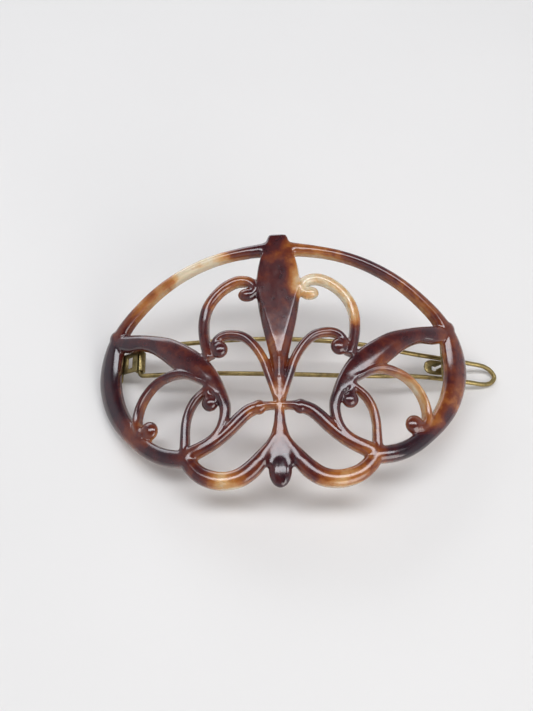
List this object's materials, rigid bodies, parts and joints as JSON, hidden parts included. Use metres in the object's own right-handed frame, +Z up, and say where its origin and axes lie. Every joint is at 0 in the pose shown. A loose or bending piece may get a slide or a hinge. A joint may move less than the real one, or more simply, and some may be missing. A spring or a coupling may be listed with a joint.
{
  "type": "hair barrette",
  "caption": "Openwork fleur-de-lis hair barrette of tortoiseshell-coloured celluloid, with a hinged brass wire bow and catch tongue behind it.",
  "frame": {"origin": "middle of the bounding box's bottom, on the surface the barrette lies on", "axes": "+X along the barrette from the hinge to the catch, +Y towards the ornament's top, +Z up with the ornament's front face uppermost"},
  "size_m": [0.0876, 0.0554, 0.0247],
  "materials": {
    "celluloid": "glossy, mottled like tortoiseshell",
    "brass_wire": "aged and dull",
    "brass_sheet": "aged and dull",
    "brass_rivet": "aged and dull"
  },
  "bodies": {
    "frame": {"ornament": "celluloid", "hinge_bracket": "brass_sheet", "catch_plate": "brass_sheet", "hinge_rivet_1": "brass_rivet", "hinge_rivet_2": "brass_rivet", "catch_rivet_1": "brass_rivet", "catch_rivet_2": "brass_rivet"},
    "bow": {"wire_bow": "brass_wire"}
  },
  "joints": [
    {"name": "bow_hinge", "type": "hinge", "parent": "frame", "child": "bow", "pos_m": [-0.03496, 0.00672, 0.0053], "axis": [0, 0.9715, 0.2368], "range_deg": [0, 70]}
  ]
}
